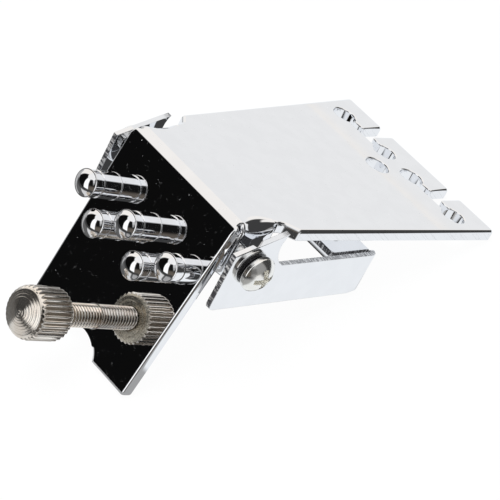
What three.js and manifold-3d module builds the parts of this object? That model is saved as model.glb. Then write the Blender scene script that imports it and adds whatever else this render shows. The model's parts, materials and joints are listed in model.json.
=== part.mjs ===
// Banjo tailpiece: a bent and punched plate with five string posts, a folded bracket that
// swings on two pivot screws, and a knurled thumb screw. Millimetres, +Z up.
// The plate's own axes: +X runs with the strings to the front edge, +Y is the left side,
// the top face lies at z = 0 and the sharp corner of the bend at x = 0.
import * as THREE from 'three';
import { mergeVertices } from 'three/addons/utils/BufferGeometryUtils.js';
import Module from 'manifold-3d';

const wasm = await Module();
wasm.setup();

// Plate. The neck and the rear wing lie inside the bracket's cheeks, the gaps away from them.
const sheet = 2.0;
const plateLength = 61.0;
const frontWidth = 40.0;
const shoulderInset = 0.6;
const shoulderX = 13.0;
const shoulderRound = 0.9;
const neckGap = 1.9;
const neckEndX = 11.0;
const neckRound = 1.5;
const frontRound = 0.5;
const bendInteriorAngle = 98.8;
const bendOuterRadius = 2.6;
const bendGap = 1.7;
const rearHeight = 34.8;
const rearEndInset = 0.5;
const rearEndRound = 0.5;
const rearNotchRadius = 4.8;
const rearNotchDrop = 1.8;

// Holes in the top
const eyeRadius = 2.2;
const innerEyeY = 3.7;
const outerEyeInset = 5.15;
const slotWidth = 1.8;
const slotX = 54.4;
const entryWidth = 2.6;
const centreHoleX = 48.6;

// Ears that carry the pivot screws
const earRearX = 1.0;
const earFrontX = 9.3;
const earLobeRadius = 4.3;
const earBendRadius = 2.5;
const earGap = 1.5;
const earWingGap = 0.35;

// Bracket, measured from the pivot axis
const pivotX = 5.5;
const pivotDrop = 6.7;
const bracketSheet = 1.0;
const bracketWidth = 32.8;
const bracketRestAngle = -0.5;
const cheekRear = 5.85;
const cheekFront = 31.2;
const cheekBottom = 7.75;
const armTopRise = 0.35;
const hoopRadius = 4.4;
const hoopX = 8.3;
const hoopHeight = 4.4;
const tabTipX = 4.7;
const tabTipHeight = 6.75;
const cheekRearHeight = 3.05;
const cheekRearRound = 1.0;
const cheekFrontRound = 2.0;
const tabRound = 0.3;
const bracketBendRadius = 1.5;
const flangeReach = 10.6;
const flangeSlit = 0.7;
const boltHoleRadius = 3.5;
const boltHoleInset = 5.5;
const sideHoleRadius = 1.5;
const sideHoleInset = 6.7;
const sideHoleY = 10.4;

// Pivot screws and washers
const shoulderRadius = 1.75;
const pivotThreadRadius = 1.5;
const pivotThreadOverrun = 0.5;
const pivotHeadRadius = 3.2;
const pivotHeadRim = 0.9;
const pivotHeadHeight = 2.5;
const recessSpan = 4.0;
const recessWidth = 0.9;
const recessDepth = 1.1;
const washerRadius = 2.5;
const washerThickness = 0.4;
const washerChamfer = 0.1;

// String posts
const postRadius = 2.3;
const postLength = 6.4;
const postDomeHeight = 1.05;
const postCount = 5;
const postSpacing = 5.4;
const postUpperDrop = 10.6;
const postLowerDrop = 14.6;
const postGrooveStart = 3.7;
const postGrooveWidth = 1.2;
const postGrooveDepth = 0.18;
const postGrooveTaper = 0.6;
const tenonRadius = 1.3;
const rivetRadius = 1.9;
const rivetHeight = 0.5;

// Thumb screw
const threadRadius = 2.0;
const threadPitch = 0.7;
const threadDepth = 0.4;
const threadRise = 5.9;
const threadTipReach = 1.0;
const knobStandoff = 9.1;
const knobRadius = 4.4;
const knobLength = 7.4;
const knobTeeth = 30;
const knobToothDepth = 0.38;
const knobChamfer = 0.8;
const knobRimRadius = 3.25;
const knobRimGroove = 0.12;
const knobCrown = 1.1;
const knobNubRadius = 0.45;
const knobNubHeight = 0.15;
const spigotRadius = 1.6;
const spigotLength = 3.6;

// Clearances: faces that bear on each other, and turned parts in their holes
const seatGap = 0.05;
const runningGap = 0.08;
const cutOverrun = 1.0;

// Fineness of round shapes
const roundSegments = 24;
const arcSegments = 6;
const domeSegments = 4;
const threadSegments = 16;
const threadCrests = [1, 1, 0];
const threadRows = threadCrests.length;

const halfTurn = Math.PI;
const quarterTurn = Math.PI / 2;
const radians = THREE.MathUtils.degToRad;

const chrome = { color: 0xdfe1e4, metalness: 1.0, roughness: 0.08 };
const screwChrome = { color: 0xd3d3d0, metalness: 1.0, roughness: 0.16 };
const nickel = { color: 0xb9aa98, metalness: 1.0, roughness: 0.28 };

// Sizes that follow from the ones above
const rearTilt = halfTurn - radians(bendInteriorAngle);
const earOuterY = bracketWidth / 2 - bracketSheet - earGap;
const earInnerY = earOuterY - sheet;
const cheekInnerY = bracketWidth / 2 - bracketSheet;
const bendWidth = 2 * (cheekInnerY - bendGap);
const neckWidth = 2 * (cheekInnerY - neckGap);
const shoulderWidth = bracketWidth - 2 * shoulderInset;
const rearEndWidth = bendWidth - 2 * rearEndInset;
const threadDrop = rearHeight - threadRise;
const outerEyeY = frontWidth / 2 - outerEyeInset;
const washerSeat = bracketWidth / 2 + seatGap;
const shoulderLength = washerSeat + washerThickness + seatGap - earOuterY;

// A closed geometry as a solid, and a solid as a geometry again
function solidOf(geometry) {
  const bare = geometry.index ? geometry.toNonIndexed() : geometry.clone();
  bare.deleteAttribute('normal');
  bare.deleteAttribute('uv');
  const merged = mergeVertices(bare);
  return new wasm.Manifold(new wasm.Mesh({
    numProp: 3,
    vertProperties: new Float32Array(merged.attributes.position.array),
    triVerts: new Uint32Array(merged.index.array),
  }));
}

function geometryOf(solid) {
  const mesh = solid.getMesh();
  const geometry = new THREE.BufferGeometry();
  geometry.setAttribute('position', new THREE.BufferAttribute(new Float32Array(mesh.vertProperties), 3));
  geometry.setIndex(new THREE.BufferAttribute(new Uint32Array(mesh.triVerts), 1));
  geometry.computeVertexNormals();
  return geometry;
}

function meshOf(name, geometry, finish) {
  const mesh = new THREE.Mesh(geometry, new THREE.MeshStandardMaterial(finish));
  mesh.name = name;
  return mesh;
}

// A shape from corner points [x, y, radius], each corner rounded by an arc of its radius
function roundedShape(corners) {
  const shape = new THREE.Shape();
  corners.forEach(([x, y, radius], i) => {
    const corner = new THREE.Vector2(x, y);
    if (!radius) {
      if (i === 0) shape.moveTo(x, y);
      else shape.lineTo(x, y);
      return;
    }
    const before = corners[(i + corners.length - 1) % corners.length];
    const after = corners[(i + 1) % corners.length];
    const back = new THREE.Vector2(before[0], before[1]).sub(corner).normalize();
    const ahead = new THREE.Vector2(after[0], after[1]).sub(corner).normalize();
    const half = Math.acos(THREE.MathUtils.clamp(back.dot(ahead), -1, 1)) / 2;
    const start = corner.clone().addScaledVector(back, radius / Math.tan(half));
    const end = corner.clone().addScaledVector(ahead, radius / Math.tan(half));
    const bisector = back.clone().add(ahead).normalize();
    const centre = corner.clone().addScaledVector(bisector, radius / Math.sin(half));
    const from = Math.atan2(start.y - centre.y, start.x - centre.x);
    const to = Math.atan2(end.y - centre.y, end.x - centre.x);
    if (i === 0) shape.moveTo(start.x, start.y);
    else shape.lineTo(start.x, start.y);
    shape.absarc(centre.x, centre.y, radius, from, to, back.cross(ahead) > 0);
  });
  shape.closePath();
  return shape;
}

// Prisms of a shape: along +Z from a start height, or standing across the part along Y,
// where the shape's x stays x and its y becomes z
function prism(shape, start, depth) {
  const geometry = new THREE.ExtrudeGeometry(shape, {
    depth, bevelEnabled: false, curveSegments: arcSegments,
  });
  geometry.translate(0, 0, start);
  return geometry;
}

function crossPrism(shape, start, depth) {
  const geometry = prism(shape, 0, depth);
  geometry.rotateX(quarterTurn);
  geometry.translate(0, start + depth, 0);
  return geometry;
}

function rod(radius, start, depth) {
  const geometry = new THREE.CylinderGeometry(radius, radius, depth, roundSegments);
  geometry.rotateX(quarterTurn);
  geometry.translate(0, 0, start + depth / 2);
  return geometry;
}

function crossRod(radius, start, depth) {
  const geometry = new THREE.CylinderGeometry(radius, radius, depth, roundSegments);
  geometry.translate(0, start + depth / 2, 0);
  return geometry;
}

function block(x0, x1, y0, y1, z0, z1) {
  const geometry = new THREE.BoxGeometry(x1 - x0, y1 - y0, z1 - z0);
  geometry.translate((x0 + x1) / 2, (y0 + y1) / 2, (z0 + z1) / 2);
  return geometry;
}

// A turned piece about Z from its profile of [radius, height], which starts and ends on the axis
function turned(profile, segments = roundSegments) {
  const points = profile.map(([radius, height]) => new THREE.Vector2(radius, height));
  const geometry = new THREE.LatheGeometry(points, segments);
  geometry.rotateX(quarterTurn);
  return geometry;
}

// Points of a dome's profile from its rim to its top, as an arc through both
function domeProfile(radius, base, height, sign = 1) {
  const sphere = (radius * radius + height * height) / (2 * height);
  const reach = Math.asin(radius / sphere);
  const points = [];
  for (let i = 1; i <= domeSegments; i += 1) {
    const angle = reach * (1 - i / domeSegments);
    const rise = sphere * Math.cos(angle) - (sphere - height);
    points.push([i === domeSegments ? 0 : sphere * Math.sin(angle), base + sign * rise]);
  }
  return points;
}

// From the plate's axes to the rear wing's: x up the wing, y to the left, z out of its rear face
function rearMatrix() {
  return new THREE.Matrix4().makeRotationY(-rearTilt);
}

// The bent strip seen from the side: top sheet, bend and rear wing, across the full width
function bentStrip() {
  const length = plateLength + cutOverrun;
  const height = rearHeight;
  const down = new THREE.Vector2(-Math.cos(rearTilt), -Math.sin(rearTilt));
  const inward = new THREE.Vector2(Math.sin(rearTilt), -Math.cos(rearTilt));
  const tip = down.clone().multiplyScalar(height);
  const innerTip = tip.clone().addScaledVector(inward, sheet);
  const innerCorner = new THREE.Vector2(sheet / Math.tan(radians(bendInteriorAngle) / 2), -sheet);
  const shape = roundedShape([
    [length, 0, 0],
    [0, 0, bendOuterRadius],
    [tip.x, tip.y, 0],
    [innerTip.x, innerTip.y, 0],
    [innerCorner.x, innerCorner.y, bendOuterRadius - sheet],
    [length, -sheet, 0],
  ]);
  return solidOf(crossPrism(shape, -frontWidth / 2 - cutOverrun, frontWidth + 2 * cutOverrun));
}

function topOutline() {
  const side = [
    [plateLength, frontWidth / 2, frontRound],
    [shoulderX, shoulderWidth / 2, shoulderRound],
    [neckEndX, neckWidth / 2, neckRound],
    [earFrontX, neckWidth / 2, 0],
    [earFrontX, earOuterY - earBendRadius, 0],
    [earRearX, earOuterY - earBendRadius, 0],
    [earRearX, bendWidth / 2, 0],
    [-bendOuterRadius, bendWidth / 2, 0],
  ];
  const mirrored = side.map(([x, y, radius]) => [x, -y, radius]).reverse();
  return roundedShape([...side, ...mirrored]);
}

// In the wing's axes, seen from behind: x runs up, y to the left
function rearOutline() {
  return roundedShape([
    [sheet, bendWidth / 2, 0],
    [-rearHeight, rearEndWidth / 2, rearEndRound],
    [-rearHeight, -rearEndWidth / 2, rearEndRound],
    [sheet, -bendWidth / 2, 0],
  ]);
}

function rearCutter() {
  const depth = sheet + 2 * cutOverrun;
  const start = -sheet - cutOverrun;
  const notch = rod(rearNotchRadius, start, depth).translate(-rearHeight - rearNotchDrop, 0, 0);
  let cutter = solidOf(notch);
  const thread = rod(threadRadius + runningGap, start, depth).translate(-threadDrop, 0, 0);
  cutter = cutter.add(solidOf(thread));
  for (const { x, y } of postPlaces()) {
    cutter = cutter.add(solidOf(rod(tenonRadius + runningGap, start, depth).translate(x, y, 0)));
  }
  return cutter;
}

function postPlaces() {
  const places = [];
  for (let i = 0; i < postCount; i += 1) {
    const drop = i % 2 === 0 ? postUpperDrop : postLowerDrop;
    places.push({ x: -drop, y: ((postCount - 1) / 2 - i) * postSpacing });
  }
  return places;
}

// A string slot: two round eyes joined by a slot, with an entry from the front edge
function topCutter() {
  const start = -sheet - cutOverrun;
  const depth = sheet + 2 * cutOverrun;
  const top = start + depth;
  let cutter = solidOf(rod(eyeRadius, start, depth).translate(centreHoleX, 0, 0));
  for (const side of [-1, 1]) {
    const y = (side * (innerEyeY + outerEyeY)) / 2;
    for (const eyeY of [innerEyeY, outerEyeY]) {
      cutter = cutter.add(solidOf(rod(eyeRadius, start, depth).translate(slotX, side * eyeY, 0)));
    }
    const reach = (outerEyeY - innerEyeY) / 2;
    const slot = block(slotX - slotWidth / 2, slotX + slotWidth / 2, y - reach, y + reach, start, top);
    const entry = block(slotX, plateLength + cutOverrun,
      y - entryWidth / 2, y + entryWidth / 2, start, top);
    cutter = cutter.add(solidOf(slot)).add(solidOf(entry));
  }
  return cutter;
}

// The slot between an ear and the rear wing, which runs up to the underside of the top
function wingClearance() {
  const depth = sheet + earWingGap + cutOverrun;
  const height = pivotDrop + earLobeRadius + cutOverrun;
  const slot = block(-height - sheet, 0, 0, earOuterY + cutOverrun, -sheet - earWingGap, depth);
  const below = block(-height, height, 0, earOuterY + cutOverrun, -height - sheet, -sheet);
  return solidOf(slot.applyMatrix4(rearMatrix())).intersect(solidOf(below));
}

// One ear, bent down from the top sheet: an angle profile trimmed to a lobe round the pivot
function ear(side) {
  const flatY = earOuterY - earBendRadius - sheet;
  const bottom = -pivotDrop - earLobeRadius - cutOverrun;
  const profile = roundedShape([
    [flatY, 0, 0],
    [flatY, -sheet, 0],
    [earInnerY, -sheet, earBendRadius - sheet],
    [earInnerY, bottom, 0],
    [earOuterY, bottom, 0],
    [earOuterY, 0, earBendRadius],
  ]);
  const length = 2 * earLobeRadius + 2 * cutOverrun;
  const strip = new THREE.ExtrudeGeometry(profile, {
    depth: length, bevelEnabled: false, curveSegments: arcSegments,
  });
  strip.rotateX(quarterTurn);
  strip.rotateZ(quarterTurn);
  strip.translate(pivotX - length / 2, 0, 0);
  const outline = new THREE.Shape();
  outline.moveTo(earRearX, cutOverrun);
  outline.lineTo(pivotX - earLobeRadius, -pivotDrop);
  outline.absarc(pivotX, -pivotDrop, earLobeRadius, halfTurn, 2 * halfTurn, false);
  outline.lineTo(earFrontX, cutOverrun);
  outline.closePath();
  const lobe = solidOf(strip).intersect(solidOf(crossPrism(outline, 0, earOuterY + cutOverrun)))
    .subtract(wingClearance());
  const hole = crossRod(pivotThreadRadius + runningGap, earInnerY - cutOverrun, sheet + 2 * cutOverrun);
  const drilled = lobe.subtract(solidOf(hole.translate(pivotX, 0, -pivotDrop)));
  return side > 0 ? drilled : solidOf(geometryOf(drilled).rotateZ(halfTurn).translate(2 * pivotX, 0, 0));
}

function tailpiecePlate() {
  const topTrim = solidOf(prism(topOutline(), -sheet - cutOverrun, sheet + 2 * cutOverrun));
  const rearTrim = solidOf(prism(rearOutline(), -sheet - cutOverrun, sheet + 2 * cutOverrun)
    .applyMatrix4(rearMatrix()));
  const rearCuts = solidOf(geometryOf(rearCutter()).applyMatrix4(rearMatrix()));
  const body = bentStrip().intersect(topTrim.add(rearTrim)).add(ear(1)).add(ear(-1));
  return geometryOf(body.subtract(topCutter()).subtract(rearCuts));
}

// The cheeks' side view, from the pivot axis: x forward, y up. The front of each tab is the
// chord of the round seat that bears on the tension hoop.
function cheekOutline() {
  const seatRise = hoopHeight - armTopRise;
  const armRootX = hoopX - Math.sqrt(hoopRadius * hoopRadius - seatRise * seatRise);
  return roundedShape([
    [-cheekRear, -cheekBottom, cheekRearRound],
    [cheekFront, -cheekBottom, cheekFrontRound],
    [cheekFront, armTopRise, 0],
    [armRootX, armTopRise, 0],
    [tabTipX, tabTipHeight, tabRound],
    [-cheekRear, cheekRearHeight, tabRound],
  ]);
}

// The bracket is one folded sheet: two cheeks and a front wall, and a flange that is folded
// back from the wall between the cheeks, with a slit beside each cheek
function mountingBracket() {
  const half = bracketWidth / 2;
  const inside = half - bracketSheet;
  const flangeHalf = inside - flangeSlit;
  const wallX = cheekFront - bracketSheet;
  const innerBend = bracketBendRadius - bracketSheet;
  const bottom = -cheekBottom - cutOverrun;
  const top = tabTipHeight + cutOverrun;
  const plan = roundedShape([
    [-cheekRear - cutOverrun, half, 0],
    [-cheekRear - cutOverrun, inside, 0],
    [wallX, inside, innerBend],
    [wallX, -inside, innerBend],
    [-cheekRear - cutOverrun, -inside, 0],
    [-cheekRear - cutOverrun, -half, 0],
    [cheekFront, -half, bracketBendRadius],
    [cheekFront, half, bracketBendRadius],
  ]);
  const seat = crossRod(hoopRadius, -half - cutOverrun, bracketWidth + 2 * cutOverrun)
    .translate(hoopX, 0, hoopHeight);
  const outline = solidOf(crossPrism(cheekOutline(), -half, bracketWidth)).subtract(solidOf(seat));
  const window = block(wallX - cutOverrun, cheekFront + cutOverrun, -flangeHalf, flangeHalf, bottom, top);
  const shell = solidOf(prism(plan, bottom, top - bottom)).subtract(solidOf(window));
  const angle = roundedShape([
    [cheekFront - flangeReach, armTopRise, 0],
    [cheekFront - flangeReach, armTopRise - bracketSheet, 0],
    [wallX, armTopRise - bracketSheet, innerBend],
    [wallX, bottom, 0],
    [cheekFront, bottom, 0],
    [cheekFront, armTopRise, bracketBendRadius],
  ]);
  const folded = solidOf(crossPrism(angle, -flangeHalf, 2 * flangeHalf));
  let bracket = shell.add(folded).intersect(outline);
  const holeStart = armTopRise - bracketSheet - cutOverrun;
  const holeDepth = bracketSheet + 2 * cutOverrun;
  const boltHole = rod(boltHoleRadius, holeStart, holeDepth);
  bracket = bracket.subtract(solidOf(boltHole.translate(cheekFront - boltHoleInset, 0, 0)));
  for (const side of [-1, 1]) {
    const hole = rod(sideHoleRadius, holeStart, holeDepth);
    hole.translate(cheekFront - sideHoleInset, side * sideHoleY, 0);
    bracket = bracket.subtract(solidOf(hole));
  }
  const pivots = crossRod(shoulderRadius + runningGap, -half - cutOverrun, bracketWidth + 2 * cutOverrun);
  return geometryOf(bracket.subtract(solidOf(pivots)));
}

// Pan-head shoulder screw along Z: the shoulder's end, which bears on the ear, is at z = 0
function pivotScrew() {
  const threadEnd = -sheet - pivotThreadOverrun;
  const headStart = shoulderLength;
  const body = solidOf(turned([
    [0, threadEnd],
    [pivotThreadRadius, threadEnd],
    [pivotThreadRadius, seatGap],
    [shoulderRadius, seatGap],
    [shoulderRadius, headStart],
    [pivotHeadRadius, headStart],
    [pivotHeadRadius, headStart + pivotHeadRim],
    ...domeProfile(pivotHeadRadius, headStart + pivotHeadRim, pivotHeadHeight - pivotHeadRim),
  ]));
  const recessFloor = headStart + pivotHeadHeight - recessDepth;
  const recessTop = headStart + pivotHeadHeight + cutOverrun;
  const span = recessSpan / 2;
  const width = recessWidth / 2;
  const recess = solidOf(block(-span, span, -width, width, recessFloor, recessTop))
    .add(solidOf(block(-width, width, -span, span, recessFloor, recessTop)));
  return geometryOf(body.subtract(recess));
}

// Thin washer along Z from z = 0, chamfered towards the screw's head
function pivotWasher() {
  const bore = shoulderRadius + runningGap;
  const ring = [
    [bore, 0],
    [washerRadius, 0],
    [washerRadius, washerThickness - washerChamfer],
    [washerRadius - washerChamfer, washerThickness],
    [bore, washerThickness],
    [bore, 0],
  ];
  return turned(ring);
}

// String post along Z, its shoulder on the plate's face at z = 0 and its riveted tenon below
function stringPost() {
  const grooveEnd = postGrooveStart + postGrooveWidth;
  const floor = postRadius - postGrooveDepth;
  const rivetTop = -sheet - seatGap;
  const rivet = domeProfile(rivetRadius, rivetTop, rivetHeight, -1).reverse();
  return turned([
    ...rivet,
    [rivetRadius, rivetTop],
    [tenonRadius, rivetTop],
    [tenonRadius, seatGap],
    [postRadius, seatGap],
    [postRadius, postGrooveStart],
    [floor, postGrooveStart + postGrooveTaper],
    [floor, grooveEnd - postGrooveDepth],
    [postRadius, grooveEnd],
    [postRadius, postLength],
    ...domeProfile(postRadius, postLength, postDomeHeight),
  ]);
}

// A right-hand thread along Z between two heights: rows of points climb one pitch each turn,
// and rows past an end gather in that end's rim
function threadSurface(bottom, top) {
  const positions = [];
  const indices = [];
  const keys = new Map();
  const rowCount = Math.ceil(((top - bottom) / threadPitch + 2) * threadRows);
  function vertex(column, row) {
    const turn = Math.floor(column / threadSegments);
    const step = column - turn * threadSegments;
    const level = row + turn * threadRows;
    const rawHeight = bottom + (level / threadRows + step / threadSegments - 1) * threadPitch;
    const height = THREE.MathUtils.clamp(rawHeight, bottom, top);
    const atEnd = height !== rawHeight || height === bottom || height === top;
    const key = atEnd ? `${step} ${height}` : `${step} ${level} row`;
    if (!keys.has(key)) {
      const fade = Math.min(1, (height - bottom) / threadPitch, (top - height) / threadPitch);
      const crest = threadCrests[((level % threadRows) + threadRows) % threadRows];
      const radius = threadRadius - threadDepth * (1 - (atEnd ? 0 : crest * fade));
      const angle = (step / threadSegments) * 2 * halfTurn;
      keys.set(key, positions.length / 3);
      positions.push(radius * Math.cos(angle), radius * Math.sin(angle), height);
    }
    return keys.get(key);
  }
  function triangle(a, b, c) {
    if (a !== b && b !== c && c !== a) indices.push(a, b, c);
  }
  for (let column = 0; column < threadSegments; column += 1) {
    for (let row = -threadRows; row < rowCount; row += 1) {
      const a = vertex(column, row);
      const b = vertex(column + 1, row);
      const c = vertex(column + 1, row + 1);
      const d = vertex(column, row + 1);
      triangle(a, b, c);
      triangle(a, c, d);
    }
  }
  for (const [height, outward] of [[bottom, -1], [top, 1]]) {
    const centre = positions.length / 3;
    positions.push(0, 0, height);
    for (let step = 0; step < threadSegments; step += 1) {
      const a = keys.get(`${step} ${height}`);
      const b = keys.get(`${(step + 1) % threadSegments} ${height}`);
      if (outward > 0) indices.push(centre, a, b);
      else indices.push(centre, b, a);
    }
  }
  const geometry = new THREE.BufferGeometry();
  geometry.setAttribute('position', new THREE.Float32BufferAttribute(positions, 3));
  geometry.setIndex(indices);
  geometry.computeVertexNormals();
  return geometry;
}

// Threaded rod along Z, the plate's rear face at z = 0, with the plain spigot that holds the knob
function thumbScrewRod() {
  const thread = solidOf(threadSurface(-sheet - threadTipReach, knobStandoff - seatGap));
  const spigot = solidOf(rod(spigotRadius, knobStandoff - threadPitch, spigotLength + threadPitch));
  return geometryOf(thread.add(spigot));
}

// Knurled knob along Z from z = 0: straight teeth, chamfered rims and a crowned face
function thumbScrewKnob() {
  const teeth = new THREE.Shape();
  for (let i = 0; i < 2 * knobTeeth; i += 1) {
    const radius = i % 2 === 0 ? knobRadius : knobRadius - knobToothDepth;
    const angle = (i / knobTeeth) * halfTurn;
    const x = radius * Math.cos(angle);
    const y = radius * Math.sin(angle);
    if (i === 0) teeth.moveTo(x, y);
    else teeth.lineTo(x, y);
  }
  teeth.closePath();
  const top = knobLength;
  const rimOuter = knobRimRadius + knobRimGroove;
  const envelope = turned([
    [0, 0],
    [knobRadius - knobChamfer, 0],
    [knobRadius, knobChamfer],
    [knobRadius, top - knobChamfer],
    [knobRadius - knobChamfer, top],
    [rimOuter, top],
    [knobRimRadius, top - knobRimGroove],
    [knobRimRadius - knobRimGroove, top],
    [knobNubRadius, top + knobCrown - knobNubHeight],
    [0, top + knobCrown],
  ], 2 * knobTeeth);
  const bore = rod(spigotRadius + runningGap, -cutOverrun, cutOverrun + spigotLength + seatGap);
  const full = prism(teeth, 0, top + knobCrown + cutOverrun);
  return geometryOf(solidOf(envelope).intersect(solidOf(full)).subtract(solidOf(bore)));
}

// The pieces in the plate's axes
function assembly() {
  const plateGroup = new THREE.Group();
  plateGroup.add(meshOf('tailpiece_plate', tailpiecePlate(), chrome));

  const rearGroup = new THREE.Group();
  rearGroup.rotation.y = -rearTilt;
  postPlaces().forEach(({ x, y }, i) => {
    const post = meshOf(`string_post_${i + 1}`, stringPost(), chrome);
    post.position.set(x, y, 0);
    rearGroup.add(post);
  });
  const screwRod = meshOf('thumb_screw_rod', thumbScrewRod(), nickel);
  screwRod.position.set(-threadDrop, 0, 0);
  rearGroup.add(screwRod);
  const knob = meshOf('thumb_screw_knob', thumbScrewKnob(), nickel);
  knob.position.set(-threadDrop, 0, knobStandoff);
  rearGroup.add(knob);
  plateGroup.add(rearGroup);

  const pivotGroup = new THREE.Group();
  pivotGroup.position.set(pivotX, 0, -pivotDrop);
  const bracket = meshOf('mounting_bracket', mountingBracket(), chrome);
  bracket.rotation.y = radians(bracketRestAngle);
  pivotGroup.add(bracket);
  for (const [name, side] of [['left', 1], ['right', -1]]) {
    const screw = meshOf(`pivot_screw_${name}`, pivotScrew(), screwChrome);
    screw.rotation.x = -side * quarterTurn;
    screw.position.set(0, side * earOuterY, 0);
    const washer = meshOf(`pivot_washer_${name}`, pivotWasher(), screwChrome);
    washer.rotation.x = -side * quarterTurn;
    washer.position.set(0, side * washerSeat, 0);
    pivotGroup.add(screw, washer);
  }
  plateGroup.add(pivotGroup);
  return plateGroup;
}

// The part stands like a tent, on the front edge of the top and the lower edge of the rear wing
function standingAngle() {
  const footX = -rearHeight * Math.cos(rearTilt) + sheet * Math.sin(rearTilt);
  const footZ = -rearHeight * Math.sin(rearTilt) - sheet * Math.cos(rearTilt);
  return Math.atan2(-sheet - footZ, plateLength - footX);
}

// The origin is the middle of the part's box, on the surface it stands on
const tailpiece = new THREE.Group();
const standing = assembly();
standing.rotation.y = standingAngle();
tailpiece.add(standing);
tailpiece.updateMatrixWorld(true);
const box = new THREE.Box3().setFromObject(tailpiece, true);
const middle = box.getCenter(new THREE.Vector3());
standing.position.set(-middle.x, -middle.y, -box.min.z);

export default tailpiece;
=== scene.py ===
# %% [markdown]
# # A banjo tailpiece in chrome
# A tailpiece holds the string ends of a banjo. A bent plate carries five posts for the loops,
# a folded bracket swings on two pivot screws, and a thumb screw sets the tilt.
#
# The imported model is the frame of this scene: it gives the places, the joints and the sizes.
# Each visible piece is made again here with finer edges and curves, and rides on its body.

# %% Load the frame
import json
import math

import bmesh
import bpy
from mathutils import Matrix, Vector


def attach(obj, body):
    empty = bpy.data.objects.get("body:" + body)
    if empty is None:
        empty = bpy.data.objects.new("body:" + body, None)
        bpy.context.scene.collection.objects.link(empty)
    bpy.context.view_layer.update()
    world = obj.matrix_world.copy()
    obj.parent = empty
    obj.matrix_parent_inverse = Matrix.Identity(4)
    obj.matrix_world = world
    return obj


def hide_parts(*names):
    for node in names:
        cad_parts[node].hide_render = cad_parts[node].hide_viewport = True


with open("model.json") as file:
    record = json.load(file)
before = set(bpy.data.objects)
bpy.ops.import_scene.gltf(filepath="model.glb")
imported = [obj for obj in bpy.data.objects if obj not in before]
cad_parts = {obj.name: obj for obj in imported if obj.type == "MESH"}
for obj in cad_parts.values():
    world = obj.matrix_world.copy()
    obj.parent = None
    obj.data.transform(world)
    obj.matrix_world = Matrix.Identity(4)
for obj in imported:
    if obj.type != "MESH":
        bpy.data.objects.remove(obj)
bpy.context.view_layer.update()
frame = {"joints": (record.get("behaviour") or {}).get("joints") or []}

# %% [markdown]
# ## The plate's axes
# Sizes are in millimetres, as on the drawing of the part. The plate's own axes have +X along
# the strings, +Y to the left, and the sharp corner of the bend at the origin. The wing's axes
# are the plate's, turned by the bend. Pieces could be placed by eye in the scene's axes, but
# the frame's joints already say how the plate lies, so nothing has to be fitted.

# %% The plate's, the wing's and the pivot's axes in the scene
MM = 0.001
BEND_TURN = math.radians(81.2)
PIVOT_X, PIVOT_DROP = 5.5, 6.7

joints = {joint["name"]: joint for joint in frame["joints"]}
pivot = Vector(joints["bracket_hinge"]["pos_m"])
outward = Vector(joints["thumb_screw_feed"]["axis"])
lean = math.pi / 2 + BEND_TURN - math.atan2(outward.z, outward.x)
plate_axes = (
    Matrix.Translation(pivot)
    @ Matrix.Rotation(lean, 4, "Y")
    @ Matrix.Scale(MM, 4)
    @ Matrix.Translation((-PIVOT_X, 0, PIVOT_DROP))
)
wing_axes = plate_axes @ Matrix.Rotation(-BEND_TURN, 4, "Y")
pivot_axes = plate_axes @ Matrix.Translation((PIVOT_X, 0, -PIVOT_DROP))
print("the plate leans by", round(math.degrees(lean), 3), "degrees")

# %% [markdown]
# ## Outlines
# A punched outline is a loop of corners, and real corners are never sharp. A bevel could
# round them afterwards. Here each corner becomes an arc from the start, and every point keeps
# the direction that leads straight out of the metal there. That direction later gives exact
# shading, which chrome needs more than any other finish, because it mirrors every error of a
# normal.

# %% Trace a path of corners
ARC_STEP = math.radians(10)
STRAIGHT = 1e-6


def trace(corners, closed=True):
    """Points (x, y, out_x, out_y) of a path of corners (x, y, radius), metal on its left."""
    points = []
    count = len(corners)
    for i, (x, y, radius) in enumerate(corners):
        here = Vector((x, y))
        before = Vector(corners[i - 1][:2])
        after = Vector(corners[(i + 1) % count][:2])
        into = (here - before).normalized()
        away = (after - here).normalized()
        if not closed and i == 0:
            into = away
        if not closed and i == count - 1:
            away = into
        turn = math.atan2(into.cross(away), into.dot(away))
        start = math.atan2(into.y, into.x) - math.pi / 2
        if radius == 0 or abs(turn) < STRAIGHT:
            angle = start + turn / 2
            points.append((x, y, math.cos(angle), math.sin(angle)))
            continue
        side = math.copysign(1, turn)
        reach = radius * math.tan(abs(turn) / 2)
        first = here - into * reach
        centre = first - Vector((math.cos(start), math.sin(start))) * radius * side
        steps = max(2, math.ceil(abs(turn) / ARC_STEP))
        for k in range(steps + 1):
            angle = start + turn * k / steps
            out = Vector((math.cos(angle), math.sin(angle)))
            spot = centre + out * radius * side
            points.append((spot.x, spot.y, out.x, out.y))
    return points


# %% Arcs and holes
def on_circle(x, y, radius, degrees):
    """A plain corner on a circle."""
    angle = math.radians(degrees)
    return x + radius * math.cos(angle), y + radius * math.sin(angle), 0


def arc(x, y, radius, start, end, steps=28):
    """Plain corners along an arc, angles in degrees."""
    turns = [start + (end - start) * k / steps for k in range(steps + 1)]
    return [on_circle(x, y, radius, turn) for turn in turns]


def hole(x, y, radius, steps=48):
    """A round hole: it runs clockwise, so the metal is on its left."""
    return trace(arc(x, y, radius, 360, 360 / steps, steps - 1))


print("a round hole has", len(hole(0, 0, 1)), "points")

# %% [markdown]
# ## Sheet metal
# A real tailpiece starts as a flat blank that is punched and then folded, and the same way
# works in code. The blank is built flat with rounded rims, cut into strips where it will
# bend, and then each point is moved by a fold function. Booleans and a bevel would leave
# thin faces at the bends, and those show in a mirror finish.

# %% The rounded rim of a sheet
RIM_STEPS = 4
QUARTER_TURN = math.pi / 2


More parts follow.
